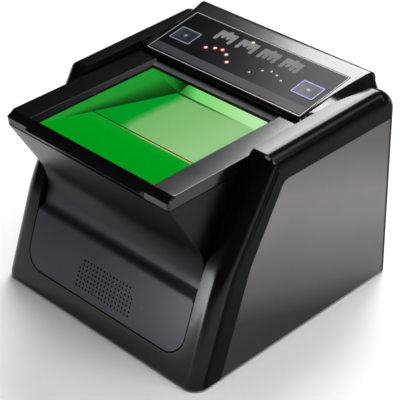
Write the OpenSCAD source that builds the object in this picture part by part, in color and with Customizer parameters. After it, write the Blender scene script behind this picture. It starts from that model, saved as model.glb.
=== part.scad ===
// Ten-print fingerprint scanner terminal: wedge-nosed desktop case, glass platen lit green from
// below, and a sloping control panel with two sprung keys and hand-placement lamps.
// Units are millimetres. +Z is up, -Y is the user's side (front), +X is the user's right.
// Origin: centre of the bounding box in plan, on the table under the rubber feet.

/* [Case] */
// overall width of the case
case_w = 152; // [148:1:160]
// outer wall thickness
wall = 3; // [2.5:0.1:3.2]
// y of the flat back face
back_y = 76; // [75:0.5:79]
// radius of the long outer edges
edge_r = 8.7; // [6:0.1:9]
// height of the rubber feet below the case
foot_h = 1.5; // [1.2:0.1:2]
// set-back of the light grey inlay from the case's front face
inlay_setback = 18.9; // [17:0.1:21]

/* [Platen] */
// half-width of the glass window
window_x = 43.6; // [42:0.1:44]
// front edge of the glass window
window_y0 = -69.2; // [-69.4:0.1:-68]
// back edge of the glass window
window_y1 = 14.7; // [13:0.1:15]
// height of the glass surface
glass_z = 110; // [109.8:0.1:110.2]
// height of the deck around the glass
deck_z = 111.8; // [111.6:0.1:112]

/* [Control panel] */
// width of the glossy overlay
overlay_w = 112.9; // [110:0.1:113]
// length of the overlay along its slope
overlay_len = 40.4; // [39.5:0.1:40.6]
// slope of the control panel in degrees
overlay_tilt = 9.54; // [9:0.01:10]
// width of each key cap
key_w = 15; // [14:0.1:15.4]
// length of each key cap along the slope
key_len = 11.7; // [11:0.1:12]
// distance of each key's centre from the centre line
key_x = 45.05; // [44:0.1:46]
// distance of each key's centre from the overlay's front edge
key_v = 19.6; // [19:0.1:20.5]
// radius of each hand-placement lamp
lamp_r = 0.95; // [0.8:0.05:1]

/* [Speaker grille] */
// spacing of the grille holes
grille_pitch = 2.53; // [2.4:0.01:2.7]
// radius of each grille hole
grille_r = 0.62; // [0.5:0.01:0.7]

/* [Hidden] */
half_w = case_w / 2;
bottom_z = foot_h;
front_y = -74.94;
lean_slope = 0.38;
lean = atan(lean_slope);
upper_slope = 0.625;
upper_lean = atan(upper_slope);
top_front = [-18, 115.3];
top_back_z = 116.9;
top_tilt = atan((top_back_z - top_front[1]) / (back_y - top_front[0]));
bend_z = 59.4;
bend_y = front_y + lean_slope * (bend_z - bottom_z);
channel_x = 61.2;
deck_x = 60.2;
seam_z = 104.5;
insert_x = 60.3;
insert_z0 = 13.9;
insert_z1 = 43.4;
insert_r = 12;
insert_t = 2.4;
nose_slope = 0.583;
waist_knee = [-48.13, 61.27];
waist_fillet = 28;
ledge_z = 46.6;
inlay_t = 1.2;
inlay_y1 = back_y - 4.1;
back_r = 3.6;
deck_corner_r = 1.5;
border_w = 2.2;
deck_corner_y = -72.4;
overlay_y = 22.19;
overlay_z = 114.46;
overlay_t = 1;
shelf_t = 2;
board_t = 1.6;
board_n = -3.7;
cover_y = back_y - 2.4;
prism_back_z = 86;
prism_angle = 13.8;

outer_casing();
rear_port_panel();
base_tray();
rubber_feet();
side_inlay_left();
side_inlay_right();
front_panel();
nose_shell();
platen_frame();
platen_gasket();
platen_prism();
prism_cradle();
diffuser_panel();
backlight_board();
backlight_leds();
control_housing();
control_overlay();
key_left();
key_right();
key_switches();
control_board();
left_hand_lamps();
right_hand_lamps();
status_lamp();
optics_bracket();
fold_mirror();
camera_board();
image_sensor();
lens_barrel();
main_board();
board_chips();
heat_sink();
usb_socket();
power_jack();
speaker();
ribbon_cable();
base_screws();
board_screws();
port_panel_screws();
lock_slot_plate();

// ---- frames and small helpers ----

// a side-view (y, z) shape made w wide, centred on x = 0
module across(w) {
    rotate([90, 0, 90])
        linear_extrude(w, center = true)
            children();
}

// the leaning front face: local x across, local z up the face, local y into the case
module on_front() {
    translate([0, front_y, bottom_z])
        rotate([-lean, 0, 0])
            children();
}

// the sloping control panel: local x across, local y up the slope, local z out of the panel
module on_panel() {
    translate([0, overlay_y, overlay_z])
        rotate([overlay_tilt, 0, 0])
            children();
}

// both side copies of a child drawn on +x
module both_sides() {
    children();
    mirror([1, 0, 0])
        children();
}

// what to remove from a square corner to leave a round edge of radius r, arc centre at the origin
module corner_2d(r) {
    difference() {
        square(r + 6);
        circle(r = r + 0.03, $fn = 64);
    }
}

// a panel outline with two rounded lower corners and square upper ones, from z0 up to z1
module bib_2d(hx, z0, z1, r) {
    translate([-hx, z0 + r])
        square([2 * hx, z1 - z0 - r]);
    translate([-hx + r, z0])
        square([2 * hx - 2 * r, r + 1]);
    for (s = [-1, 1])
        translate([s * (hx - r), z0 + r])
            circle(r = r, $fn = 64);
}

// ---- outer case ----

module case_side_2d(inset_front, inset) {
    f = inset_front * sqrt(1 + lean_slope * lean_slope);
    u = inset_front * sqrt(1 + upper_slope * upper_slope);
    low = inset == 0 ? bottom_z : -2;
    polygon([[front_y + f + lean_slope * (low - bottom_z), low],
             [bend_y + (f + u) / 2, bend_z],
             [top_front[0] + u - upper_slope * inset, top_front[1] - inset],
             [back_y - inset, top_back_z - inset],
             [back_y - inset, low]]);
}

module case_outside() {
    difference() {
        across(case_w)
            case_side_2d(0, 0);
        // round back-top corner
        across(case_w + 4)
            translate([back_y - 10, top_back_z - 10])
                corner_2d(10);
        // small bevel under the front edge
        across(case_w + 4)
            polygon([[front_y - 2, bottom_z - 1], [front_y + 1.9, bottom_z - 1], [front_y + 1.9, bottom_z],
                     [front_y + 0.9, bottom_z + 3.2], [front_y - 2, bottom_z + 4]]);
        both_sides()
            case_edge_cuts();
    }
}

module case_edge_cuts() {
    // along the top
    translate([half_w - edge_r, top_front[0] + edge_r * sin(top_tilt), top_front[1] - edge_r * cos(top_tilt)])
        rotate([90 + top_tilt, 0, 0])
            linear_extrude(400, center = true)
                corner_2d(edge_r);
    // up the lower front
    translate([half_w - edge_r, front_y + edge_r * cos(lean), bottom_z + edge_r * -sin(lean)])
        rotate([-lean, 0, 0])
            linear_extrude(400, center = true)
                mirror([0, 1])
                    corner_2d(edge_r);
    // up the upper front
    translate([half_w - edge_r, bend_y + edge_r * cos(upper_lean), bend_z - edge_r * sin(upper_lean)])
        rotate([-upper_lean, 0, 0])
            linear_extrude(400, center = true)
                mirror([0, 1])
                    corner_2d(edge_r);
    // up the back
    translate([half_w - back_r, back_y - back_r, -50])
        linear_extrude(250)
            corner_2d(back_r);
}

module case_cavity() {
    intersection() {
        across(case_w - 2 * wall)
            case_side_2d(4.6, wall);
        rotate([90, 0, 0])
            linear_extrude(400, center = true)
                polygon([[-half_w + wall, -5], [half_w - wall, -5], [half_w - wall, 106],
                         [half_w - 10, 113.5], [-half_w + 10, 113.5], [-half_w + wall, 106]]);
    }
}

module inlay_2d(grow) {
    g = grow;
    y_low = front_y + inlay_setback;
    polygon([[y_low - g, bottom_z + 0.4 - g], [y_low + lean_slope * 58 - g, bottom_z + 58],
             [-11.2 - g, 97.6], [-9.4 - g * 0.5, 99.4 + g * 0.6], [-7.2, 100 + g], [inlay_y1 + g, 100 + g],
             [inlay_y1 + g, bottom_z + 0.4 - g]]);
}

module outer_casing() {
    color([0.05, 0.05, 0.055])
        union() {
            difference() {
                case_outside();
                case_cavity();
                casing_openings();
                both_sides()
                    inlay_recess();
            }
            cheek_inner_walls();
            both_sides()
                deck_ledge();
            screw_bosses();
        }
}

module casing_openings() {
    // the wide channel between the two side cheeks, open at the front and the top
    translate([-channel_x, -95, 48])
        cube([2 * channel_x, 95 + cover_y - 1, 90]);
    translate([-channel_x, -95, seam_z + 0.9])
        cube([2 * channel_x, 200, 60]);
    // front panel opening
    on_front()
        translate([0, 6, 0])
            rotate([90, 0, 0])
                linear_extrude(12)
                    bib_2d(insert_x + 0.35, (insert_z0 - bottom_z) / cos(lean) - 0.5, 52, insert_r + 0.3);
    // rear port panel opening
    translate([-46, back_y - wall - 1, 12])
        cube([92, wall + 2, 36]);
    // ventilation slots above the port panel
    for (i = [-6:6])
        translate([i * 7 - 1.2, back_y - wall - 1, 58])
            cube([2.4, wall + 2, 24]);
}

module inlay_recess() {
    translate([half_w - inlay_t - 0.05, 0, 0])
        rotate([90, 0, 90])
            linear_extrude(4)
                inlay_2d(0.15);
}

module cheek_inner_walls() {
    intersection() {
        case_outside();
        both_sides()
            translate([channel_x, -80, 42])
                cube([2.4, 160, 98]);
    }
}

module deck_ledge() {
    translate([channel_x - 4, -6, seam_z - 2.6])
        cube([4.6, 78, 2.5]);
}

module screw_bosses() {
    for (sx = [-1, 1], by = [-50, 64])
        translate([sx * 64, by, 4.3])
            difference() {
                union() {
                    cylinder(r = 4, h = 26, $fn = 40);
                    translate([sx > 0 ? 0 : -9.5, -1.2, 0])
                        cube([9.5, 2.4, 26]);
                }
                translate([0, 0, -1])
                    cylinder(r = 1.35, h = 14, $fn = 24);
            }
}

module rear_port_panel() {
    color([0.07, 0.07, 0.075])
        difference() {
            union() {
                translate([-45.6, cover_y - 0.7, 12.4])
                    cube([91.2, 2.4, 35.2]);
                translate([-49, cover_y - 2.6, 9])
                    cube([98, 2, 42]);
            }
            // socket openings
            translate([-30.2, cover_y - 5, 13.9])
                cube([12.4, 10, 11.2]);
            translate([24, cover_y - 5, 18.6])
                rotate([-90, 0, 0])
                    cylinder(r = 4.2, h = 10, $fn = 40);
            translate([-3.5, cover_y - 5, 30])
                cube([7, 10, 3]);
            for (sx = [-1, 1])
                translate([sx * 41, cover_y - 5, 30])
                    rotate([-90, 0, 0])
                        cylinder(r = 1.6, h = 10, $fn = 24);
            for (sx = [-1, 1])
                translate([sx * 41, cover_y + 1.2, 30])
                    rotate([-90, 0, 0])
                        cylinder(r = 2.8, h = 4, $fn = 32);
        }
}

module base_tray() {
    color([0.09, 0.09, 0.09])
        difference() {
            union() {
                translate([-72.4, -69, bottom_z])
                    cube([144.8, 141.6, 2.6]);
                // standoffs for the main board
                for (sx = [-1, 1], by = [-40, 58])
                    translate([sx * 43, by, bottom_z + 2])
                        cylinder(r = 3.2, h = 5.9, $fn = 32);
                // feet of the optics bracket
                for (sx = [-1, 1])
                    translate([sx * 54 - 5, 20, bottom_z + 2])
                        cube([10, 44, 1.9]);
            }
            for (sx = [-1, 1], by = [-50, 64])
                translate([sx * 64, by, 0])
                    cylinder(r = 1.7, h = 8, $fn = 24);
            for (sx = [-1, 1], by = [-50, 64])
                translate([sx * 64, by, 0])
                    cylinder(r = 3.2, h = bottom_z + 1.2, $fn = 32);
            for (sx = [-1, 1], by = [-40, 58])
                translate([sx * 43, by, bottom_z + 3])
                    cylinder(r = 1.1, h = 8, $fn = 20);
            for (sx = [-1, 1], by = [-58, 60])
                translate([sx * 52, by, 0])
                    cylinder(r = 7.2, h = bottom_z + 0.6, $fn = 48);
            // vent slots under the boards
            for (i = [-3:3])
                translate([i * 8 - 1.5, -20, 0])
                    cube([3, 40, 8]);
        }
}

module rubber_feet() {
    color([0.03, 0.03, 0.03])
        for (sx = [-1, 1], by = [-58, 60])
            translate([sx * 52, by, 0])
                rotate_extrude($fn = 48)
                    polygon([[0, 0], [5.9, 0], [6.6, 0.5], [7, bottom_z + 0.55], [0, bottom_z + 0.55]]);
}

module side_inlay_plate() {
    translate([half_w - inlay_t, 0, 0])
        rotate([90, 0, 90])
            linear_extrude(inlay_t)
                inlay_2d(0);
}

module side_inlay_left() {
    color([0.36, 0.35, 0.34])
        mirror([1, 0, 0])
            side_inlay_plate();
}

module side_inlay_right() {
    color([0.36, 0.35, 0.34])
        side_inlay_plate();
}

// ---- front ----

module front_panel() {
    z0 = (insert_z0 - bottom_z) / cos(lean);
    z1 = (insert_z1 - bottom_z) / cos(lean);
    gz = (25.8 - bottom_z) / cos(lean);
    color([0.16, 0.16, 0.18])
        on_front()
            difference() {
                union() {
                    translate([0, insert_t, 0])
                        rotate([90, 0, 0])
                            linear_extrude(insert_t)
                                bib_2d(insert_x, z0, z1, insert_r);
                    // rim that seats the speaker
                    translate([0, insert_t - 0.2, gz])
                        rotate([-90, 0, 0])
                            difference() {
                                cylinder(r = 11.6, h = 2.2, $fn = 64);
                                translate([0, 0, -1])
                                    cylinder(r = 10.4, h = 5, $fn = 64);
                            }
                }
                for (row = [-3:3], col = [-8:8])
                    if (row < 2 || abs(col) < 8)
                        translate([col * grille_pitch, -1, gz + row * grille_pitch])
                            rotate([-90, 0, 0])
                                cylinder(r = grille_r, h = 6, $fn = 16);
            }
}

// side view of the nose: leaning underside, concave waist set back from the front face, and the ledge
// that steps out again to meet the top edge of the front panel
module nose_side_2d() {
    c = cos(lean);
    s = sin(lean);
    nose_angle = atan(nose_slope);
    tangent = waist_fillet * tan((lean + nose_angle) / 2);
    lower = [waist_knee[0] - tangent * s, waist_knee[1] - tangent * c];
    upper = [waist_knee[0] - tangent * sin(nose_angle), waist_knee[1] + tangent * cos(nose_angle)];
    middle = [lower[0] - waist_fillet * c, lower[1] + waist_fillet * s];
    low_z = insert_z1 + 0.4;
    low_y = front_y + lean_slope * (low_z - bottom_z);
    ledge_y = waist_knee[0] - lean_slope * (waist_knee[1] - ledge_z);
    tip_y = waist_knee[0] - nose_slope * (seam_z - waist_knee[1]);
    difference() {
        polygon([[tip_y, seam_z], upper, lower, [ledge_y, ledge_z], [low_y, low_z], [low_y + 10, low_z],
                 [-33, 66], [-8, 99], [-8, seam_z]]);
        intersection() {
            translate(middle)
                circle(r = waist_fillet + 0.04, $fn = 128);
            polygon([middle, [lower[0] + 0.5 - 2 * s, lower[1] - 2 * c], [waist_knee[0] + 2, waist_knee[1]],
                     [upper[0] + 0.5 - 2 * sin(nose_angle), upper[1] + 2 * cos(nose_angle)]]);
        }
    }
}

module nose_shell() {
    color([0.045, 0.045, 0.05])
        difference() {
            across(2 * deck_x)
                nose_side_2d();
            // hollow, open at the back and the top
            across(2 * (deck_x - 2.4))
                polygon([[-68.2, seam_z + 1], [-68.2, seam_z - 0.9], [-53.2, 80], [-44.3, 66], [-44.6, 58],
                         [-47.2, 50], [-49.5, insert_z1 + 3.2], [-32, insert_z1 + 3.2], [13, 88],
                         [13, seam_z + 1]]);
        }
}

// ---- deck and glass ----

module platen_frame() {
    color([0.07, 0.07, 0.075])
        difference() {
            deck_blank();
            // window well with sloping left and right borders
            rotate([90, 0, 0])
                translate([0, 0, -window_y1 - 0.2])
                    linear_extrude(window_y1 + 0.2 - window_y0)
                        polygon([[-window_x - 0.2, seam_z - 1], [window_x + 0.2, seam_z - 1],
                                 [window_x + 0.2, glass_z + 0.1], [window_x + border_w, deck_z + 0.05],
                                 [window_x + border_w, deck_z + 3], [-window_x - border_w, deck_z + 3],
                                 [-window_x - border_w, deck_z + 0.05], [-window_x - 0.2, glass_z + 0.1]]);
            // black rest strip behind the glass
            translate([-window_x - 1.6, window_y1 - 1, glass_z - 2])
                cube([2 * window_x + 3.2, 6.8, 10]);
            // seat for the gasket ring, from below
            translate([-window_x - 1.6, window_y0 - 0.2, seam_z - 1])
                cube([2 * window_x + 3.2, window_y1 - window_y0 + 2, glass_z - 1.2 - seam_z + 1]);
            // hollow underside
            deck_hollow();
            // opening under the control housing for its board and wiring
            translate([-54.5, 24, seam_z - 1])
                cube([109, 42, 20]);
        }
}

module deck_blank() {
    intersection() {
        union() {
            across(2 * deck_x)
                polygon([[-73.9, 109.7], [-73.4, seam_z], [71, seam_z], [71, deck_z], [-69.6, deck_z]]);
            // the lip stands further out in front of the glass
            across(85.6)
                polygon([[-76, 108.95], [-74, 106], [-60, 106], [-60, deck_z], [-69.6, deck_z]]);
        }
        translate([0, 0, 90])
            linear_extrude(40)
                union() {
                    translate([-deck_x, deck_corner_y])
                        square([2 * deck_x, 180]);
                    translate([-deck_x + deck_corner_r, -78])
                        square([2 * (deck_x - deck_corner_r), 20]);
                    for (s = [-1, 1])
                        translate([s * (deck_x - deck_corner_r), deck_corner_y])
                            circle(r = deck_corner_r, $fn = 48);
                }
    }
}

module deck_hollow() {
    side_w = deck_x - 2.4 - (window_x + 4.2);
    both_sides()
        translate([window_x + 4.2, -68, seam_z - 1])
            cube([side_w, 86, deck_z - 3.4 - seam_z + 1]);
    translate([-deck_x + 2.4, 22.5, seam_z - 1])
        cube([2 * deck_x - 4.8, 46, deck_z - 2.6 - seam_z + 1]);
}

module platen_gasket() {
    color([0.02, 0.02, 0.02])
        difference() {
            union() {
                translate([-window_x - 1.4, window_y0 + 0.1, seam_z + 0.4])
                    cube([2 * window_x + 2.8, window_y1 - window_y0 + 1.4, glass_z - 1.3 - seam_z - 0.4]);
                translate([-window_x - 1.4, window_y1 + 0.3, seam_z + 0.4])
                    cube([2 * window_x + 2.8, 1.2, glass_z - 2.2 - seam_z]);
                translate([-window_x - 1.4, window_y1 + 0.3, glass_z - 1.9])
                    cube([2 * window_x + 2.8, 5.3, 2.3]);
            }
            translate([-window_x + 0.4, window_y0 + 1, seam_z - 2])
                cube([2 * window_x - 0.8, window_y1 - window_y0 - 1, 20]);
        }
}

module prism_side_2d() {
    polygon([[window_y0 + 1.1, glass_z - 0.05], [window_y1 - 0.1, glass_z - 0.05],
             [window_y1 - 0.1, prism_back_z], [-62, 104.76], [window_y0 + 1.1, 106.2]]);
}

module platen_prism() {
    color([0.55, 0.85, 0.6, 0.5])
        across(2 * window_x - 1)
            prism_side_2d();
}

// frame for the plates that lie parallel to the prism's sloping face: z = 0 on that face
module on_prism_back() {
    translate([0, window_y1 - 0.1, prism_back_z])
        rotate([-prism_angle, 0, 0])
            children();
}

module prism_cradle() {
    color([0.2, 0.2, 0.21])
        difference() {
            union() {
                both_sides()
                    translate([window_x + 0.5, 0, 0])
                        rotate([90, 0, 90])
                            linear_extrude(3.4)
                                polygon([[-65, seam_z - 0.1], [window_y1 + 4, seam_z - 0.1],
                                         [window_y1 + 4, 72], [8, 72], [-62, 96], [-65, 99]]);
                // flanges under the deck
                both_sides()
                    translate([window_x + 0.5, -60, seam_z - 2.1])
                        cube([8.6, 72, 2]);
                // back cross bar with the camera window
                translate([-window_x - 1, window_y1 + 1.6, 72])
                    cube([2 * window_x + 2, 2.4, seam_z - 0.1 - 72]);
            }
            // groove for the diffuser and its board
            on_prism_back()
                translate([-window_x - 1.6, -84, -3.3])
                    cube([2 * window_x + 3.2, 82, 2.8]);
            on_prism_back()
                translate([-window_x - 1.6, -80, -10.3])
                    cube([2 * window_x + 3.2, 76, 1.8]);
            translate([-32, window_y1 - 1, 86])
                cube([64, 10, 15]);
        }
}

module diffuser_panel() {
    color([0.75, 0.9, 0.75])
        on_prism_back()
            translate([-window_x - 1.4, -78, -3.1])
                cube([2 * window_x + 2.8, 74, 2.4]);
}

module backlight_board() {
    color([0.05, 0.3, 0.12])
        on_prism_back()
            translate([-window_x - 1.4, -74, -10.2])
                cube([2 * window_x + 2.8, 68, 1.6]);
}

module backlight_leds() {
    color([0.4, 0.95, 0.5])
        on_prism_back()
            for (i = [-4:4], j = [0:5])
                translate([i * 9 - 1.6, -67 + j * 11, -8.6])
                    cube([3.2, 2.8, 1.4]);
}

// ---- control panel ----

module housing_side_2d() {
    polygon([[20.5, deck_z], [20.5, 112.6], [21.3, 114.3],
             [overlay_y + 51 * cos(overlay_tilt), overlay_z + 51 * sin(overlay_tilt)],
             [75.6, seam_z + 14], [75.6, seam_z + 1.2], [73, seam_z + 1.2], [73, deck_z]]);
}

module control_housing() {
    color([0.045, 0.045, 0.05])
        difference() {
            across(140)
                housing_side_2d();
            // round back edge
            across(142)
                translate([68.7, 118.2])
                    corner_2d(5);
            both_sides()
                housing_flank_cuts();
            // hollow inside
            housing_hollow();
            // overlay recess and the openings in the shelf below it
            on_panel()
                overlay_recess();
            // sits over the cheeks like a saddle
            both_sides()
                translate([channel_x - 0.5, 0, 0])
                    rotate([90, 0, 90])
                        linear_extrude(30)
                            cheek_clearance_2d();
            // round corners at the back, seen from above
            both_sides()
                translate([61.4, 69.6, 90])
                    linear_extrude(60)
                        corner_2d(6);
        }
}

// the cheek's side shape, grown a little, that the housing must stay clear of
module cheek_clearance_2d() {
    difference() {
        translate([0, 0.15])
            case_side_2d(0, 0);
        translate([back_y - 10, top_back_z - 10 + 0.15])
            corner_2d(10);
    }
}

module housing_flank_cuts() {
    // outer flank: nearly upright at the front, flaring over the cheek towards the back
    translate([57.2, 21.6, 114.3])
        rotate([0, -37.9, -12.7])
            translate([0, -100, -100])
                cube([60, 260, 200]);
}

module housing_hollow() {
    across(2 * 53.5)
        polygon([[25, deck_z - 1], [25, 112.2], [30, 112.6], [68, 119], [70.5, 117], [70.5, deck_z - 1]]);
    on_panel()
        translate([-53.5, 2, -12])
            cube([107, 44, 12 - overlay_t - shelf_t]);
}

module overlay_recess() {
    translate([-overlay_w / 2 - 0.15, -0.15, -overlay_t])
        cube([overlay_w + 0.3, overlay_len + 0.3, 6]);
    for (s = [-1, 1])
        translate([s * key_x - key_w / 2 - 1.5, key_v - key_len / 2 - 1.5, -overlay_t - shelf_t - 1])
            cube([key_w + 3, key_len + 3, 6]);
    lamp_field(lamp_r + 0.35, -6, 10);
}

// hand lamps: each hand has five lamps in an arc, thumb nearest the centre line
module lamp_arc(side, r, z0, h) {
    for (p = [[8, 13.85], [12.95, 18.8], [17.6, 21], [22.5, 20], [27.46, 17.4]])
        translate([side * p[0], p[1], z0])
            cylinder(r = r, h = h, $fn = 24);
}

module lamp_field(r, z0, h) {
    lamp_arc(-1, r, z0, h);
    lamp_arc(1, r, z0, h);
    translate([-8.2, 35.6, z0])
        cylinder(r = r, h = h, $fn = 24);
}

module control_overlay() {
    color([0.02, 0.02, 0.03])
        on_panel()
            difference() {
                translate([-overlay_w / 2, 0, -overlay_t])
                    cube([overlay_w, overlay_len, overlay_t]);
                for (s = [-1, 1])
                    translate([s * key_x - key_w / 2 - 0.3, key_v - key_len / 2 - 0.3, -3])
                        cube([key_w + 0.6, key_len + 0.6, 6]);
                lamp_field(lamp_r + 0.05, -3, 6);
            }
}

module key_cap(side) {
    on_panel()
        translate([side * key_x, key_v, 0])
            union() {
                translate([-key_w / 2, -key_len / 2, -1.5])
                    cube([key_w, key_len, 1.7]);
                translate([-key_w / 2 - 0.9, -key_len / 2 - 0.9, -2.1])
                    cube([key_w + 1.8, key_len + 1.8, 0.7]);
            }
}

module key_left() {
    color([0.03, 0.04, 0.07])
        key_cap(-1);
}

module key_right() {
    color([0.03, 0.04, 0.07])
        key_cap(1);
}

module key_switches() {
    color([0.7, 0.7, 0.72])
        on_panel()
            for (s = [-1, 1])
                translate([s * key_x, key_v, board_n])
                    union() {
                        translate([-3, -3, 0])
                            cube([6, 6, 0.6]);
                        cylinder(r = 1.6, h = 0.95, $fn = 32);
                    }
}

module control_board() {
    color([0.03, 0.25, 0.12])
        on_panel()
            difference() {
                union() {
                    translate([-53, 3, board_n - board_t])
                        cube([106, 36, board_t]);
                    // posts that meet the shelf
                    for (sx = [-1, 1], v = [6, 36])
                        translate([sx * 33, v, board_n - 0.1])
                            cylinder(r = 2, h = 0.1 - overlay_t - shelf_t - board_n, $fn = 24);
                }
                for (sx = [-1, 1], v = [6, 36])
                    translate([sx * 33, v, -8])
                        cylinder(r = 0.9, h = 10, $fn = 20);
            }
}

module left_hand_lamps() {
    color([0.9, 0.15, 0.15])
        on_panel()
            lamp_arc(-1, lamp_r, board_n, -board_n);
}

module right_hand_lamps() {
    color([0.8, 0.8, 0.78])
        on_panel()
            lamp_arc(1, lamp_r, board_n, -board_n);
}

module status_lamp() {
    color([0.3, 0.9, 0.3])
        on_panel()
            translate([-8.2, 35.6, board_n])
                cylinder(r = lamp_r, h = -board_n, $fn = 24);
}

// ---- optics and electronics ----

module optics_bracket() {
    color([0.7, 0.7, 0.72])
        difference() {
            union() {
                both_sides()
                    translate([52, 24, 5.4])
                        cube([2, 38, 92]);
                both_sides()
                    translate([52, 24, 5.4])
                        cube([6.4, 38, 1.6]);
                // camera shelf
                translate([-53, 24, 24])
                    cube([106, 33, 2]);
                // mirror rails
                both_sides()
                    translate([44, 43, 78])
                        rotate([45, 0, 0])
                            translate([0, -17, -1.8])
                                cube([8.6, 34, 1.8]);
            }
            both_sides()
                translate([50, 43, 52])
                    rotate([0, 90, 0])
                        cylinder(r = 12, h = 8, $fn = 64);
            for (sx = [-1, 1], by = [31, 54])
                translate([sx * 15, by, 20])
                    cylinder(r = 1.1, h = 10, $fn = 20);
        }
}

module fold_mirror() {
    color([0.85, 0.87, 0.9])
        translate([0, 43, 78])
            rotate([45, 0, 0])
                translate([-50, -16, 0])
                    cube([100, 32, 2.4]);
}

module camera_board() {
    color([0.03, 0.25, 0.12])
        difference() {
            translate([-18, 28, 26])
                cube([36, 28.5, board_t]);
            for (sx = [-1, 1], by = [31, 54])
                translate([sx * 15, by, 24])
                    cylinder(r = 1.1, h = 6, $fn = 20);
        }
}

module image_sensor() {
    color([0.1, 0.1, 0.12])
        translate([-6, 37, 26 + board_t])
            cube([12, 12, 1.5]);
}

module lens_barrel() {
    color([0.04, 0.04, 0.04])
        translate([0, 43, 26 + board_t])
            difference() {
                union() {
                    translate([-11, -11, 0])
                        cube([22, 22, 8]);
                    cylinder(r = 9.5, h = 24, $fn = 64);
                    translate([0, 0, 12])
                        cylinder(r = 11, h = 6, $fn = 64);
                }
                translate([-6.4, -6.4, -1])
                    cube([12.8, 12.8, 4]);
                translate([0, 0, 2])
                    cylinder(r = 6, h = 30, $fn = 48);
                translate([0, 0, 19])
                    cylinder(r1 = 6, r2 = 8.4, h = 6, $fn = 48);
            }
}

module main_board() {
    color([0.03, 0.25, 0.12])
        difference() {
            translate([-48, -46, bottom_z + 7.9])
                cube([96, 116, board_t]);
            for (sx = [-1, 1], by = [-40, 58])
                translate([sx * 43, by, 0])
                    cylinder(r = 1.3, h = 20, $fn = 20);
        }
}

module board_chips() {
    top = bottom_z + 7.9 + board_t;
    color([0.06, 0.06, 0.07])
        union() {
            translate([-12, -18, top])
                cube([24, 24, 1.8]);
            translate([20, -14, top])
                cube([12, 9, 1.2]);
            translate([20, 0, top])
                cube([12, 9, 1.2]);
            translate([-36, 6, top])
                cube([14, 14, 1.4]);
            translate([32, 40, top])
                cylinder(r = 4, h = 9, $fn = 32);
            translate([-38, 40, top])
                cube([9, 9, 4.5]);
        }
}

module heat_sink() {
    top = bottom_z + 7.9 + board_t + 1.8;
    color([0.6, 0.6, 0.62])
        union() {
            translate([-11, -17, top])
                cube([22, 22, 1.6]);
            for (i = [0:6])
                translate([-11 + i * 3.5, -17, top])
                    cube([1, 22, 7]);
        }
}

module usb_socket() {
    top = bottom_z + 7.9 + board_t;
    color([0.75, 0.75, 0.77])
        difference() {
            union() {
                translate([-30, 57.4, top + 2.9])
                    cube([12, 16, 10.8]);
                // foot of the shell that stands on the board
                translate([-30, 57.4, top])
                    cube([12, 12.4, 3]);
            }
            translate([-28, 62, 16.2])
                cube([8, 12, 7]);
        }
}

module power_jack() {
    color([0.04, 0.04, 0.04])
        difference() {
            union() {
                translate([19.5, 60, bottom_z + 7.9 + board_t])
                    cube([9, 10.8, 12]);
                translate([24, 69, 18.6])
                    rotate([-90, 0, 0])
                        cylinder(r = 4, h = 5.8, $fn = 48);
            }
            translate([24, 63, 18.6])
                rotate([-90, 0, 0])
                    cylinder(r = 2.9, h = 14, $fn = 48);
        }
}

module speaker() {
    gz = (25.8 - bottom_z) / cos(lean);
    color([0.15, 0.15, 0.16])
        on_front()
            translate([0, insert_t, gz])
                rotate([-90, 0, 0])
                    union() {
                        cylinder(r = 10.2, h = 1.6, $fn = 64);
                        translate([0, 0, 1.5])
                            cylinder(r1 = 9.6, r2 = 7, h = 3, $fn = 64);
                        translate([0, 0, 4.4])
                            cylinder(r = 6.4, h = 3.4, $fn = 64);
                    }
}

module ribbon_cable() {
    color([0.75, 0.75, 0.7])
        union() {
            translate([-16, 68.2, 20])
                cube([14, 0.4, 80]);
            translate([-16, 50, 99.6])
                cube([14, 18.6, 0.4]);
            translate([-16, 50, 99.6])
                cube([14, 0.4, 9]);
        }
}

module base_screws() {
    color([0.5, 0.5, 0.52])
        for (sx = [-1, 1], by = [-50, 64])
            translate([sx * 64, by, 0])
                union() {
                    translate([0, 0, bottom_z + 0.3])
                        difference() {
                            cylinder(r = 2.9, h = 0.9, $fn = 32);
                            translate([0, 0, -0.5])
                                cylinder(r = 1.2, h = 0.9, $fn = 6);
                        }
                    translate([0, 0, bottom_z + 1.1])
                        cylinder(r = 1.3, h = 12, $fn = 24);
                }
}

module board_screws() {
    top = bottom_z + 7.9 + board_t;
    color([0.6, 0.6, 0.62])
        for (sx = [-1, 1], by = [-40, 58])
            translate([sx * 43, by, 0])
                union() {
                    translate([0, 0, top])
                        cylinder(r = 2.4, h = 1.2, $fn = 32);
                    translate([0, 0, top - 5.4])
                        cylinder(r = 1.05, h = 5.5, $fn = 20);
                }
}

module port_panel_screws() {
    color([0.5, 0.5, 0.52])
        for (sx = [-1, 1])
            translate([sx * 41, cover_y + 1.3, 30])
                rotate([90, 0, 0])
                    union() {
                        translate([0, 0, -1.1])
                            cylinder(r = 2.6, h = 1.1, $fn = 32);
                        cylinder(r = 1.5, h = 8, $fn = 24);
                    }
}

module lock_slot_plate() {
    color([0.6, 0.6, 0.62])
        difference() {
            translate([-9, cover_y - 4.2, 25])
                cube([18, 1.5, 13]);
            translate([-3.5, cover_y - 6, 30])
                cube([7, 6, 3]);
        }
}
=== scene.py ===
import math

import bmesh
import bpy
from mathutils import Matrix, Quaternion, Vector


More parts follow.
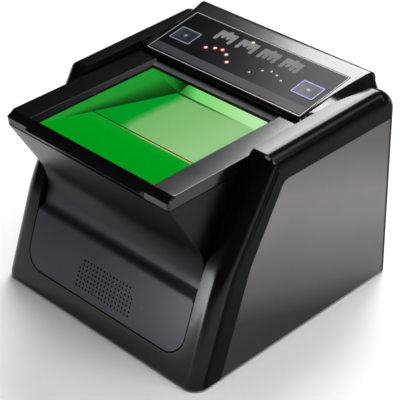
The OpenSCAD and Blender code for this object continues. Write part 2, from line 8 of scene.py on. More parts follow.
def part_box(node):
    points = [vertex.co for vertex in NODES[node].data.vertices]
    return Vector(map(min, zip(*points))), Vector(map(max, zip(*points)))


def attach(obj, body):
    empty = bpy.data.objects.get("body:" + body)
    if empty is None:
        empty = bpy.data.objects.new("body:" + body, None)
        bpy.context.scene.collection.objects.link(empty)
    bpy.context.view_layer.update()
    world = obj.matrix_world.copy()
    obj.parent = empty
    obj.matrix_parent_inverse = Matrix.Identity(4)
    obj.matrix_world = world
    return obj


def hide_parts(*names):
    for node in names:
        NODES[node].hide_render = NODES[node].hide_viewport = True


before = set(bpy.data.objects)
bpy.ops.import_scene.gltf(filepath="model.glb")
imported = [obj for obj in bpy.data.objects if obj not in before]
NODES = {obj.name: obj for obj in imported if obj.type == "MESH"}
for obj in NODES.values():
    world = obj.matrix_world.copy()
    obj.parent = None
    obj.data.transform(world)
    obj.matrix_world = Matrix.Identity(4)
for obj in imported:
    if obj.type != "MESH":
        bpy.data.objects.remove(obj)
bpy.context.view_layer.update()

ROOT = "terminal"
MM = 0.001


def mm_box(node):
    lo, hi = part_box(node)
    return Vector(lo) / MM, Vector(hi) / MM


CASE_LO, CASE_HI = mm_box("outer_casing")
DECK_LO, DECK_HI = mm_box("platen_frame")
OVER_LO, OVER_HI = mm_box("control_overlay")
GLASS_Z = mm_box("platen_prism")[1].z
INSERT_TOP_Z = mm_box("front_panel")[1].z

# ---------------------------------------------------------------- case sizes, mm
HALF_W = CASE_HI.x
BACK_Y = CASE_HI.y
BOTTOM_Z = CASE_LO.z
LEAN_SLOPE = 0.38  # how far the front leans back for each mm of height
LEAN = math.atan(LEAN_SLOPE)
FRONT_Y = -74.94  # the leaning front, carried down to the bottom edge
BEND_Z = 59.4  # where the cheeks' front edge bends further back
BEND_Y = FRONT_Y + LEAN_SLOPE * (BEND_Z - BOTTOM_Z)
BEND_R = 110.0
TOP_FRONT = (-18.0, 115.3)  # y and z of the cheeks' top front corner
TOP_BACK_Z = 116.9
TOP_R = 5.0
BACK_TOP_R = 10.0
EDGE_R = 8.7  # rounding of the long outer edges
BACK_CORNER_R = 3.6
CHANNEL_X = 61.2  # inner wall of the cheeks
INSERT_X = 60.95  # opening for the front panel: half width, lower edge, corner radius
INSERT_Z = 13.1
INSERT_R = 12.6
BACK_WALL_TOP = 104.4
BACK_RAIL_TOP = 107.0
PORT_HALF_W = 46
PORT_Z = (12, 48)
VENT_Z = (58, 82)
VENT_HALF_W = 1.2
VENT_PITCH = 7.0
VENTS_PER_SIDE = 6
INLAY_SETBACK = 18.9
INLAY_TOP_Z = 100
INLAY_BACK_Y = 71.9
INLAY_GAP = 0.15
INLAY_DEPTH = 1.25
SHELL_T = 2.0

# ---------------------------------------------------------------- deck and nose sizes, mm
DECK_X = DECK_HI.x
DECK_Z = DECK_HI.z
SEAM_Z = DECK_LO.z
DECK_BACK_Y = 71.0
DECK_CORNER_R = 1.5
LIP_X = 42.8  # half width of the part of the front edge that stands out
LIP_SLANT = 0.5
WINDOW_X = 43.6
WINDOW_Y0 = -69.2
WINDOW_Y1 = 14.7
BORDER_W = 2.2  # sloping border left and right of the glass
BORDER_DEPTH = 3.0
NOSE_SLOPE = 0.583
NOSE_EDGE_R = 0.9
NOSE_GAP = 0.35  # between the nose and the deck above it
WAIST_KNEE = (-48.13, 61.27)  # y and z of the corner that the waist rounds off
WAIST_R = 28.0
LEDGE_Z = 46.6
LEDGE_TOP_R = 3.4
LEDGE_FOOT_R = 3.0
LEDGE_RISE = 2.9
STEP_RISE = 1.7

# ---------------------------------------------------------------- light well sizes, mm
WELL_Z = 99.9
WELL_FOLD_Y = -32.2
WELL_LEFT_FRONT = -40.1
WELL_LEFT_BACK = -21.1
WELL_FOOT_Y = 12.6
WELL_CORNER_X = -15.5

# ---------------------------------------------------------------- control panel sizes, mm
PANEL_TILT = math.radians(9.54)
PANEL_Y = 22.19
PANEL_Z = 114.46
PANEL_W = OVER_HI.x - OVER_LO.x
PANEL_LEN = 40.4
RECESS_V = (-0.15, 40.55)  # front and back edge of the overlay's recess
RECESS_GAP = 0.2
RECESS_DEPTH = 1.15
SLAB_END_V = 47.4
SLAB_BACK_R = 4.6
KEY_X = 45.05
KEY_V = 19.6
KEY_HALF = (7.5, 5.85)
LAMPS = [(8.3, 14.0), (13.3, 18.9), (18.1, 21.05), (22.7, 20.0), (27.6, 17.6)]
STATUS = (-8.4, 35.4)


# ---------------------------------------------------------------- material helpers
def new_material(name):
    m = bpy.data.materials.new(name)
    m.use_nodes = True
    return m, m.node_tree.nodes, m.node_tree.links, m.node_tree.nodes["Principled BSDF"]


def object_coords(nodes):
    """The material's one coordinate node, read along the object's own axes."""
    node = nodes.get("Coords") or nodes.new("ShaderNodeTexCoord")
    node.name = "Coords"
    return node.outputs["Object"]


def noise(nodes, links, scale, detail=4.0, rough=0.5, coords=None):
    n = nodes.new("ShaderNodeTexNoise")
    n.inputs["Scale"].default_value = scale
    n.inputs["Detail"].default_value = detail
    n.inputs["Roughness"].default_value = rough
    links.new(coords or object_coords(nodes), n.inputs["Vector"])
    return n.outputs["Fac"]


def ramp(nodes, links, fac, stops):
    r = nodes.new("ShaderNodeValToRGB")
    e = r.color_ramp.elements
    while len(e) < len(stops):
        e.new(0.5)
    for i, (pos, c) in enumerate(stops):
        e[i].position = pos
        e[i].color = (*c, 1.0)
    links.new(fac, r.inputs["Fac"])
    return r.outputs["Color"]


def grey(v):
    return (v, v, v)


def shade(c, k):
    return tuple(min(1.0, x * k) for x in c)


def multiply(nodes, links, color):
    """A node that multiplies a colour; its second colour is set by the caller."""
    mix = nodes.new("ShaderNodeMixRGB")
    mix.blend_type = "MULTIPLY"
    mix.inputs["Fac"].default_value = 1.0
    links.new(color, mix.inputs["Color1"])
    return mix


def add_bump(nodes, links, shader, height, strength, distance):
    bump = nodes.new("ShaderNodeBump")
    bump.inputs["Strength"].default_value = strength
    bump.inputs["Distance"].default_value = distance
    links.new(height, bump.inputs["Height"])
    links.new(bump.outputs["Normal"], shader.inputs["Normal"])


def tone_along(nodes, links, base, along, low, high, tones):
    """Multiplies a colour by a grey that changes along a direction, from low to high mm: painted light and shade."""
    dot = nodes.new("ShaderNodeVectorMath")
    dot.operation = "DOT_PRODUCT"
    dot.inputs[1].default_value = along
    links.new(object_coords(nodes), dot.inputs[0])
    span = nodes.new("ShaderNodeMapRange")
    span.inputs["From Min"].default_value = low * MM
    span.inputs["From Max"].default_value = high * MM
    links.new(dot.outputs["Value"], span.inputs["Value"])
    tone = ramp(nodes, links, span.outputs["Result"], [(at, grey(v)) for at, v in tones])
    mix = multiply(nodes, links, base)
    links.new(tone, mix.inputs["Color2"])
    return mix.outputs["Color"]


def plastic(name, color, rough, spread=0.05, grain=900.0, bump=0.05, spec=0.5, vary=0.15, painted_light_and_shade=None):
    """Moulded plastic: fine spark-erosion grain, slow colour drift, and roughness that varies with handling; an
    optional tone along a direction paints light and shade into the colour.
    """
    m, nodes, links, b = new_material(name)
    drift = noise(nodes, links, 22.0, 3.0)
    base = ramp(nodes, links, drift, [(0.3, shade(color, 1 - vary)), (0.7, shade(color, 1 + vary))])
    # painted light and shade: the colour is made lighter and darker along a direction
    if painted_light_and_shade:
        base = tone_along(nodes, links, base, *painted_light_and_shade)
    links.new(base, b.inputs["Base Color"])
    wear = noise(nodes, links, 60.0, 5.0, 0.6)
    gloss = [(0.3, grey(max(0.02, rough - spread))), (0.75, grey(min(1, rough + spread)))]
    links.new(ramp(nodes, links, wear, gloss), b.inputs["Roughness"])
    add_bump(nodes, links, b, noise(nodes, links, grain, 2.0), bump, 0.0002)
    b.inputs["Specular IOR Level"].default_value = spec
    return m


def metal(name, color, rough, stretch=(1, 1, 40)):
    """Drawn or machined metal with fine brushed streaks."""
    m, nodes, links, b = new_material(name)
    mp = nodes.new("ShaderNodeMapping")
    mp.inputs["Scale"].default_value = stretch
    links.new(object_coords(nodes), mp.inputs["Vector"])
    streak = noise(nodes, links, 300.0, 5.0, 0.65, mp.outputs["Vector"])
    tint = [(0.3, shade(color, 0.82)), (0.7, shade(color, 1.12))]
    links.new(ramp(nodes, links, streak, tint), b.inputs["Base Color"])
    gloss = [(0.3, grey(rough * 0.75)), (0.7, grey(min(1, rough * 1.3)))]
    links.new(ramp(nodes, links, streak, gloss), b.inputs["Roughness"])
    add_bump(nodes, links, b, streak, 0.04, 0.0001)
    b.inputs["Metallic"].default_value = 1.0
    return m


def lamp(name, color, glow, strength):
    """Moulded lens with a steady glow."""
    m, nodes, links, b = new_material(name)
    n = noise(nodes, links, 900.0, 2.0)
    links.new(ramp(nodes, links, n, [(0.35, shade(color, 0.8)), (0.65, color)]), b.inputs["Base Color"])
    b.inputs["Roughness"].default_value = 0.25
    b.inputs["Emission Color"].default_value = (*glow, 1)
    b.inputs["Emission Strength"].default_value = strength
    return m


def axis_fade(nodes, links, axis, lo, hi):
    """0 to 1 along an object axis between lo and hi (mm), as a smooth value."""
    split = nodes.new("ShaderNodeSeparateXYZ")
    links.new(object_coords(nodes), split.inputs[0])
    span = nodes.new("ShaderNodeMapRange")
    span.interpolation_type = "SMOOTHSTEP"
    span.inputs["From Min"].default_value = lo * MM
    span.inputs["From Max"].default_value = hi * MM
    links.new(split.outputs[axis], span.inputs["Value"])
    return span.outputs["Result"]


def lit_green(name, stops, axis, lo, hi, strength=1.0, base=0.03):
    """Frosted green wall that glows, with light and shade painted into its glow: the colour runs along one object axis
    with a faint mottle.
    """
    mottle = 0.12
    m, nodes, links, b = new_material(name)
    painted_light_and_shade = axis_fade(nodes, links, axis, lo, hi)
    mix = nodes.new("ShaderNodeMath")
    mix.operation = "MULTIPLY_ADD"
    links.new(noise(nodes, links, 40.0, 3.0), mix.inputs[0])
    mix.inputs[1].default_value = mottle
    links.new(painted_light_and_shade, mix.inputs[2])
    level = nodes.new("ShaderNodeMath")
    level.operation = "SUBTRACT"
    level.use_clamp = True
    links.new(mix.outputs[0], level.inputs[0])
    level.inputs[1].default_value = mottle / 2
    color = ramp(nodes, links, level.outputs[0], stops)
    links.new(color, b.inputs["Emission Color"])
    dark = multiply(nodes, links, color)
    dark.inputs["Color2"].default_value = (base, base, base, 1)
    links.new(dark.outputs["Color"], b.inputs["Base Color"])
    b.inputs["Emission Strength"].default_value = strength
    b.inputs["Roughness"].default_value = 0.7
    b.inputs["Specular IOR Level"].default_value = 0.0
    return m


def cover_glass():
    """Clear glass with faint finger grease in its roughness."""
    m, nodes, links, b = new_material("cover_glass")
    b.inputs["Base Color"].default_value = (0.93, 1.0, 0.94, 1)
    b.inputs["Transmission Weight"].default_value = 1.0
    b.inputs["IOR"].default_value = 1.05
    grease = noise(nodes, links, 55.0, 6.0, 0.65)
    links.new(ramp(nodes, links, grease, [(0.35, grey(0.0)), (0.8, grey(0.05))]), b.inputs["Roughness"])
    return m


# ---------------------------------------------------------------- materials
M = {}
M["case"] = plastic("gloss_black_case", grey(0.002), 0.17, 0.012, 1400.0, 0.02, spec=0.28)
M["case_side"] = plastic("satin_black_sides", grey(0.002), 0.36, 0.02, 1400.0, 0.03, spec=0.05)
M["deck"] = plastic("satin_black_deck", grey(0.002), 0.14, 0.012, 1600.0, 0.03, spec=0.38)
# painted light and shade: a painted highlight band low on the waist, near 50 mm up, then painted shade darkening the
# nose to near black above about 60 mm
M["nose"] = plastic("black_nose", (0.040, 0.041, 0.050), 0.30, 0.006, 1400.0, 0.04, spec=0.16,
                    painted_light_and_shade=((0.0, 0.0, 1.0), 46.0, 66.0,
                          [(0.0, 0.7), (0.18, 0.9), (0.35, 0.3), (0.7, 0.04), (1.0, 0.01)]))
M["front"] = plastic("textured_front_panel", (0.012, 0.0135, 0.021), 0.26, 0.02, 1500.0, 0.16, spec=0.27)
# painted light and shade: the side inlays are darkest at the bottom front, lightest higher up, and dimmer again at the
# top back
M["inlay"] = plastic("satin_grey_inlay", (0.196, 0.187, 0.178), 0.42, 0.04, 2200.0, 0.06, spec=0.32, vary=0.05,
                     painted_light_and_shade=((0.0, 0.35, 0.9), 0.0, 110.0,
                           [(0.10, 0.05), (0.25, 0.40), (0.43, 0.66), (0.58, 0.94), (0.70, 1.0), (0.95, 0.45)]))
M["housing"] = plastic("black_control_housing", grey(0.003), 0.15, 0.010, 1500.0, 0.02, spec=0.5)
M["overlay"] = plastic("printed_overlay", (0.002, 0.002, 0.003), 0.17, 0.01, 2600.0, 0.0, spec=0.05)
M["key"] = plastic("clear_blue_key", (0.006, 0.008, 0.018), 0.22, 0.02, 2600.0, 0.0, spec=0.12)
M["rubber"] = plastic("foot_rubber", grey(0.012), 0.75, 0.1, 800.0, 0.3, spec=0.3)
M["tray"] = plastic("tray_plastic", grey(0.02), 0.5, 0.08, 700.0, 0.2)
M["port"] = plastic("port_panel_plastic", grey(0.016), 0.42, 0.06, 900.0, 0.15)
M["gasket"] = plastic("gasket_rubber", grey(0.004), 0.6, 0.1, 800.0, 0.2, spec=0.3)
M["pcb"] = plastic("solder_mask", (0.01, 0.09, 0.035), 0.35, 0.08, 1200.0, 0.1, vary=0.3)
M["chip"] = plastic("chip_epoxy", grey(0.02), 0.5, 0.1, 1600.0, 0.2)
M["ribbon"] = plastic("ribbon_film", grey(0.42), 0.4, 0.08, 500.0, 0.1)
M["steel"] = metal("screw_steel", (0.42, 0.42, 0.44), 0.32)
M["alu"] = metal("aluminium_bracket", (0.62, 0.62, 0.64), 0.38, (1, 30, 1))
M["mirror"] = metal("mirror_coat", (0.8, 0.82, 0.85), 0.05)
M["led"] = lamp("green_led", (0.25, 0.8, 0.35), (0.2, 0.9, 0.3), 1.2)
M["red_lamp"] = lamp("lit_red_lamp", (0.95, 0.35, 0.35), (1.0, 0.30, 0.32), 1.0)
# painted glow: a faint red pool of light round each lit lamp
M["red_halo"] = lamp("red_lamp_painted_glow", (0.25, 0.01, 0.015), (0.45, 0.01, 0.02), 0.35)
# painted light: the unlit clear lamps glow faintly
M["clear_lamp"] = lamp("unlit_clear_lamp", (0.34, 0.33, 0.31), (0.6, 0.6, 0.56), 0.03)
M["green_lamp"] = lamp("lit_green_lamp", (0.35, 0.7, 0.3), (0.3, 0.8, 0.25), 0.5)
M["ink"] = plastic("grey_print", (0.12, 0.115, 0.12), 0.5, 0.1, 1500.0, 0.0, vary=0.25, spec=0.2)
M["line"] = plastic("silver_print_line", (0.30, 0.29, 0.29), 0.35, 0.1, 1500.0, 0.05, vary=0.2)
M["blue_ink"] = plastic("blue_print", (0.16, 0.17, 0.52), 0.4, 0.08, 1500.0, 0.05, vary=0.2)
M["blue_ink_dim"] = plastic("grey_blue_print", (0.085, 0.095, 0.14), 0.4, 0.08, 1500.0, 0.05, vary=0.2)
M["strip"] = plastic("smoked_strip", (0.014, 0.014, 0.020), 0.3, 0.04, 1500.0, 0.0, spec=0.12)
M["glass"] = cover_glass()
M["diffuser"] = lit_green("frosted_diffuser", [(0.0, (0.2, 0.5, 0.2)), (1.0, (0.35, 0.7, 0.3))],
                          "Y", -60, 12, strength=0.2, base=0.12)

# the light well's walls, which glow with light and shade painted into the glow, by the name of the wall
MG = {
    "ramp": lit_green("lit_ramp", [
        (0.0, (0.0, 0.31, 0.010)), (0.8, (0.0, 0.33, 0.012)), (1.0, (0.004, 0.33, 0.018))],
        "Y", WINDOW_Y0, WELL_FOLD_Y),
    # painted shade: darker by the left wall, paler towards the right
    "floor": lit_green("lit_floor", [
        (0.0, (0.0, 0.30, 0.020)), (0.17, (0.0, 0.31, 0.022)), (0.28, (0.19, 0.45, 0.15)),
        (0.7, (0.24, 0.49, 0.18)), (1.0, (0.31, 0.56, 0.25))],
        "X", WELL_LEFT_FRONT, 36.0),
    # painted shade: the left wall darkens towards its foot
    "left": lit_green("lit_left_wall", [
        (0.0, (0.004, 0.05, 0.006)), (0.3, (0.010, 0.15, 0.014)), (0.6, (0.016, 0.29, 0.028)),
        (1.0, (0.016, 0.31, 0.030))],
        "Z", WELL_Z, GLASS_Z),
    # painted shade: darkening into the back left corner
    "return": lit_green("lit_left_return", [
        (0.0, (0.016, 0.30, 0.028)), (0.55, (0.012, 0.24, 0.022)), (0.85, (0.006, 0.09, 0.010)),
        (1.0, (0.002, 0.03, 0.004))],
        "X", -43.0, WELL_CORNER_X),
    # painted shade at the back wall's left end, painted light towards the right
    "back": lit_green("lit_back_wall", [
        (0.0, (0.02, 0.24, 0.03)), (0.10, (0.18, 0.68, 0.17)), (0.5, (0.35, 0.74, 0.25)), (1.0, (0.52, 0.82, 0.46))],
        "X", -21.0, 43.0),
    # painted shadow line along the back wall's foot
    "foot": lit_green("lit_back_foot", [
        (0.0, (0.008, 0.07, 0.008)), (0.45, (0.05, 0.20, 0.04)), (0.8, (0.20, 0.42, 0.15)), (1.0, (0.33, 0.62, 0.26))],
        "X", -21.0, 34.0),
    # painted shade along the fold between ramp and floor
    "fold_shade": lit_green("lit_fold_shade_line", [(0.0, (0.012, 0.05, 0.008)), (1.0, (0.06, 0.08, 0.02))], "X", -40, 40),
    # painted highlight along the fold's edge
    "edge": lit_green("lit_fold_edge", [
        (0.0, (0.0, 0.30, 0.02)), (0.3, (0.06, 0.34, 0.04)), (0.5, (0.36, 0.42, 0.14)), (1.0, (0.44, 0.45, 0.18))],
        "X", -40, 40),
}


# ---------------------------------------------------------------- mesh helpers
def make(name, b, material, body=ROOT, replaces=(), angle=35.0, bevel=0.0, solid=0.0, weld=0.0,
         outward=None, weighted=False):
    """A Builder's mesh becomes a smooth-shaded piece that rides on a body."""
    me = bpy.data.meshes.new(name)
    me.from_pydata([tuple(Vector(v) * MM) for v in b.v], [], b.f)
    me.validate()
    bm = bmesh.new()
    bm.from_mesh(me)
    if weld:
        bmesh.ops.remove_doubles(bm, verts=bm.verts, dist=weld * MM)
    bmesh.ops.recalc_face_normals(bm, faces=bm.faces)
    bm.normal_update()
    if outward:
        inward = [f for f in bm.faces if not outward(f.calc_center_median() / MM, f.normal)]
        bmesh.ops.reverse_faces(bm, faces=inward)
    bm.to_mesh(me)
    bm.free()
    me.materials.append(material)
    for p in me.polygons:
        p.use_smooth = True
    me.set_sharp_from_angle(angle=math.radians(angle))
    ob = bpy.data.objects.new(name, me)
    bpy.context.scene.collection.objects.link(ob)
    if solid:
        md = ob.modifiers.new("thickness", "SOLIDIFY")
        md.thickness = solid * MM
        md.offset = -1.0
        md.use_even_offset = True
    if bevel:
        soften(ob, bevel, angle).miter_outer = "MITER_ARC"
    if weighted:
        md = ob.modifiers.new("even_shading", "WEIGHTED_NORMAL")
        md.keep_sharp = True
    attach(ob, body)
    if replaces:
        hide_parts(*replaces)
    return ob


def soften(ob, width, angle):
    """Rounds every edge that is sharper than the angle, in degrees."""
    md = ob.modifiers.new("soft_edges", "BEVEL")
    md.width = width * MM
    md.segments = 2
    md.limit_method = "ANGLE"
    md.angle_limit = math.radians(angle)
    md.harden_normals = True
    return md


def second_material(ob, material, chosen):
    """Gives the faces that chosen(face) picks another material."""
    ob.data.materials.append(material)
    for f in ob.data.polygons:
        if chosen(f):
            f.material_index = 1


def arc(cx, cy, r, a0, a1, n):
    """Points on a circular arc, angles in degrees, both ends included."""
    turns = [math.radians(a0 + (a1 - a0) * i / n) for i in range(n + 1)]
    return [(cx + r * math.cos(t), cy + r * math.sin(t)) for t in turns]


def rounded_rect(hx, hy, r, n=6, cx=0.0, cy=0.0):
    pts = []
    for sx, sy, a in ((1, 1, 0), (-1, 1, 90), (-1, -1, 180), (1, -1, 270)):
        pts += arc(cx + sx * (hx - r), cy + sy * (hy - r), r, a, a + 90, n)
    return pts


def fillet(p0, p1, p2, r, n):
    """Arc of radius r that rounds the corner p0-p1-p2, as points from the first tangent to the second."""
    a, b, c = Vector(p0), Vector(p1), Vector(p2)
    u, v = (a - b).normalized(), (c - b).normalized()
    half = math.acos(max(-1, min(1, u.dot(v)))) / 2
    t = r / math.tan(half)
    s, e = b + u * t, b + v * t
    o = b + (u + v).normalized() * (r / math.sin(half))
    a0 = math.atan2(s.y - o.y, s.x - o.x)
    a1 = math.atan2(e.y - o.y, e.x - o.x)
    d = (a1 - a0 + math.pi) % (2 * math.pi) - math.pi
    turns = [a0 + d * i / n for i in range(n + 1)]
    return [(o.x + r * math.cos(a), o.y + r * math.sin(a)) for a in turns]


def thinned(points, shortest):
    """The outline without points that lie closer than the given length to the one before."""
    kept = [points[0]]
    for p in points[1:]:
        if (Vector(p) - Vector(kept[-1])).length > shortest:
            kept.append(p)
    return kept


def fill(loops):
    """Triangles that fill flat 2D outlines; later loops are holes. Returns (points, triangles)."""
    bm = bmesh.new()
    edges = []
    for loop in loops:
        vs = [bm.verts.new((p[0], p[1], 0)) for p in loop]
        edges += [bm.edges.new((vs[i], vs[(i + 1) % len(vs)])) for i in range(len(vs))]
    bmesh.ops.triangle_fill(bm, use_beauty=True, use_dissolve=False, edges=edges, normal=(0, 0, 1))
    bm.verts.index_update()
    pts = [(v.co.x, v.co.y) for v in bm.verts]
    tris = [tuple(v.index for v in f.verts) for f in bm.faces]
    bm.free()
    return pts, tris


class Builder:
    """Collects verts and faces, in millimetres."""

    def __init__(self):
        self.v = []
        self.f = []

    def add(self, verts, faces):
        n = len(self.v)
        self.v += [tuple(p) for p in verts]
        self.f += [tuple(i + n for i in f) for f in faces]

    def grid(self, rows, close=False, skip=None):
        """Rows of equal length become quads; close joins a row's ends; skip(i, j) leaves a quad out."""
        n = len(rows[0])
        faces = []
        for i in range(len(rows) - 1):
            for j in range(n if close else n - 1):
                k = (j + 1) % n
                if skip is None or not skip(i, j):
                    faces.append((i * n + j, i * n + k, (i + 1) * n + k, (i + 1) * n + j))
        self.add([p for r in rows for p in r], faces)

    def flat(self, loops, place):
        pts, tris = fill(loops)
        self.add([place(p) for p in pts], tris)

    def mirror_x(self):
        n = len(self.v)
        self.v += [(-x, y, z) for x, y, z in self.v]
        self.f += [tuple(i + n for i in reversed(f)) for f in self.f]


def prism(loops, place, z0, z1):
    """A closed solid between two heights of a local frame; later loops are holes; place(x, y, z) maps it out."""
    b = Builder()
    for loop in loops:
        b.grid([[place(x, y, z) for x, y in loop] for z in (z0, z1)], close=True)
    for z in (z1, z0):
        b.flat(loops, lambda p: place(p[0], p[1], z))
    return b


def on_panel(x, v, n=0.0):
    """Sloping control panel: across, up the slope, out of the panel."""
    c, s = math.cos(PANEL_TILT), math.sin(PANEL_TILT)
    return (x, PANEL_Y + v * c - n * s, PANEL_Z + v * s + n * c)


def on_front(x, t):
    """Leaning front face: across, then up the face."""
    return (x, FRONT_Y + t * math.sin(LEAN), BOTTOM_Z + t * math.cos(LEAN))


# ---------------------------------------------------------------- outer casing
def case_profile():
    """Side outline of the case from the front foot, over the top, to the back foot.

    Each point is (y, z, inward y, inward z, edge radius)."""
    foot = (FRONT_Y + 0.9, BOTTOM_Z)
    low = (FRONT_Y + LEAN_SLOPE * 3.0, BOTTOM_Z + 3.0)
    bend = (BEND_Y, BEND_Z)
    top = TOP_FRONT
    back_top = (BACK_Y, TOP_BACK_Z)
    pts = [foot, low] + fillet(low, bend, top, BEND_R, 10)
    front_count = len(pts)
    pts += fillet(bend, top, back_top, TOP_R, 6) + fillet(top, back_top, (BACK_Y, 0), BACK_TOP_R, 10)
    pts += [(BACK_Y, 90.0), (BACK_Y, 60.0), (BACK_Y, BOTTOM_Z)]
    out = []
    for i, p in enumerate(pts):
        p = Vector(p)
        a = (p - Vector(pts[max(0, i - 1)])).normalized() if i > 0 else None
        b = (Vector(pts[i + 1]) - p).normalized() if i + 1 < len(pts) else None
        a = a or b
        b = b or a
        na, nb = Vector((a.y, -a.x)), Vector((b.y, -b.x))
        if i == 0:
            na = nb = Vector((math.cos(LEAN), -math.sin(LEAN)))
        if i == 1:
            na = nb
        n = (na + nb).normalized()
        n = n / max(0.2, n.dot(nb))
        k = max(0.0, min(1.0, (i - front_count - 7) / 10.0))
        out.append((p.x, p.y, n.x, n.y, EDGE_R + (BACK_CORNER_R - EDGE_R) * k))
    return out, front_count


def inlay_outline(g):
    """Side inlay outline (y, z) with small rounded corners, made g mm larger all round."""
    y_low = FRONT_Y + INLAY_SETBACK
    raw = [(y_low - g, BOTTOM_Z + 0.4 - g), (y_low + LEAN_SLOPE * 58 - g, BOTTOM_Z + 58), (-11.2 - g, 97.6),
           (-9.4 - g * 0.5, 99.4 + g * 0.6), (-7.2, INLAY_TOP_Z + g), (INLAY_BACK_Y + g, INLAY_TOP_Z + g),
           (INLAY_BACK_Y + g, BOTTOM_Z + 0.4 - g)]
    corner = fillet(raw[4], raw[5], raw[6], 1.2, 4)
    return [raw[0]] + fillet(raw[0], raw[1], raw[2], 60.0, 6) + raw[2:5] + corner + [raw[6]]


def bake_inside(ob, lo, hi):
    """Turns the modifiers into mesh and keeps every point inside a box (mm)."""
    done = bpy.data.meshes.new_from_object(ob.evaluated_get(bpy.context.evaluated_depsgraph_get()))
    ob.modifiers.clear()
    ob.data = done
    for v in done.vertices:
        v.co = [min(max(c, a * MM), z * MM) for c, a, z in zip(v.co, lo, hi)]


def casing_outward(c, n):
    if abs(n.x) > 0.9 and abs(abs(c.x) - CHANNEL_X) < 0.1:
        return n.x * c.x < 0
    return n.dot(c - Vector((math.copysign(30.0, c.x), 20.0, 45.0))) > 0


def up_front(z):
    """Length along the leaning front that reaches a height."""
    return (z - BOTTOM_Z) / math.cos(LEAN)


def casing_front(b, prof):
    """Front face below the bend: a frame round the insert, and the strip under it."""
    (y0, z0), (y1, z1) = prof[0][:2], prof[1][:2]
    t1, t2, ti = up_front(z1), up_front(prof[2][1]), up_front(INSERT_Z)
    xo = HALF_W - prof[1][4]
    corner = arc(INSERT_X - INSERT_R, ti + INSERT_R, INSERT_R, 0, -90, 10)
    loop = [(0, t1), (xo, t1), (xo, t2), (CHANNEL_X, t2), (INSERT_X, t2)] + corner + [(0, ti)]
    b.flat([loop], lambda p: on_front(p[0], p[1]))
    b.grid([[(0, y0, z0), (xo, y0, z0)], [(0, y1, z1), (xo, y1, z1)]])


def casing_back(b):
    """Right half of the back wall, with the port opening and the ventilation slots."""
    edge = HALF_W - BACK_CORNER_R
    (v0, v1), (p0, p1) = VENT_Z, PORT_Z
    outer = [(0, BOTTOM_Z), (edge, BOTTOM_Z), (edge, BACK_WALL_TOP), (0, BACK_WALL_TOP),
             (0, v1), (VENT_HALF_W, v1), (VENT_HALF_W, v0), (0, v0),
             (0, p1), (PORT_HALF_W, p1), (PORT_HALF_W, p0), (0, p0)]
    slots = []
    for i in range(1, VENTS_PER_SIDE + 1):
        x0, x1 = VENT_PITCH * i - VENT_HALF_W, VENT_PITCH * i + VENT_HALF_W
        slots.append([(x0, v0), (x1, v0), (x1, v1), (x0, v1)])
    b.flat([outer] + slots, lambda p: (p[0], BACK_Y, p[1]))
    b.grid([[(CHANNEL_X, BACK_Y, z), (edge, BACK_Y, z)] for z in (BACK_WALL_TOP, BACK_RAIL_TOP)])


def casing_side(b, prof):
    """Right side face: a ring round the inlay recess, then the recess itself."""
    ring = thinned([(y + ny * r, z + nz * r) for y, z, ny, nz, r in prof], 0.4)
    inlay = inlay_outline(INLAY_GAP)
    for outline in (ring, inlay):
        for end in (0, -1):
            outline[end] = (outline[end][0], BOTTOM_Z)
    b.flat([ring + inlay[::-1]], lambda p: (HALF_W, p[0], p[1]))
    floor_x = HALF_W - INLAY_DEPTH
    b.grid([[(x, y, z) for y, z in inlay] for x in (HALF_W, floor_x)])
    b.flat([inlay], lambda p: (floor_x, p[0], p[1]))


def build_casing():
    prof, front_n = case_profile()
    b = Builder()
    # the rounded long edges
    steps = 8
    rows = []
    for y, z, ny, nz, r in prof:
        row = []
        for i in range(steps + 1):
            th = math.pi / 2 * i / steps
            d = r * (1 - math.cos(th))
            row.append((HALF_W - r + r * math.sin(th), y + ny * d, z + nz * d))
        rows.append(row)
    b.grid(rows)
    # flat band from the channel out to the rounded edge
    band = [p for i, p in enumerate(prof) if i >= 2 and (p[1] > 104.0 or i < front_n + 1)]
    b.grid([[(CHANNEL_X, y, z), (HALF_W - r, y, z)] for y, z, ny, nz, r in band])
    casing_front(b, prof)
    casing_back(b)
    casing_side(b, prof)
    # inner wall of the cheek, seen above the deck
    wall_z = INSERT_TOP_Z
    inner = [(FRONT_Y + LEAN_SLOPE * (wall_z - BOTTOM_Z), wall_z)]
    inner += [p[:2] for p in prof if p[1] > wall_z + 1]
    inner += [(BACK_Y, wall_z)]
    b.flat([inner], lambda p: (CHANNEL_X, p[0], p[1]))
    b.mirror_x()
    ob = make("casing_shell", b, M["case"], replaces=("outer_casing",), solid=SHELL_T, bevel=0.35,
              angle=32.0, weld=0.02, outward=casing_outward, weighted=True)
    bake_inside(ob, CASE_LO, CASE_HI)
    side_x = (HALF_W - 2.0) * MM
    second_material(ob, M["case_side"], lambda f: abs(f.normal.x) > 0.93 and abs(f.center.x) > side_x)


# ---------------------------------------------------------------- deck with its lip
def deck_outline(front_y, hx, lip=0.0):
    """Plan outline from back right, round the front, to back left; lip pushes the front's middle out."""
    r = DECK_CORNER_R
    lip_y = front_y - lip
    half = [(hx, DECK_BACK_Y), (hx, 20.0), (hx, -40.0)] + arc(hx - r, front_y + r, r, 0, -90, 8)
    half += [(LIP_X + LIP_SLANT, front_y), (LIP_X, lip_y), (20.0, lip_y)]
    return half + [(0.0, lip_y)] + [(-x, y) for x, y in reversed(half)]


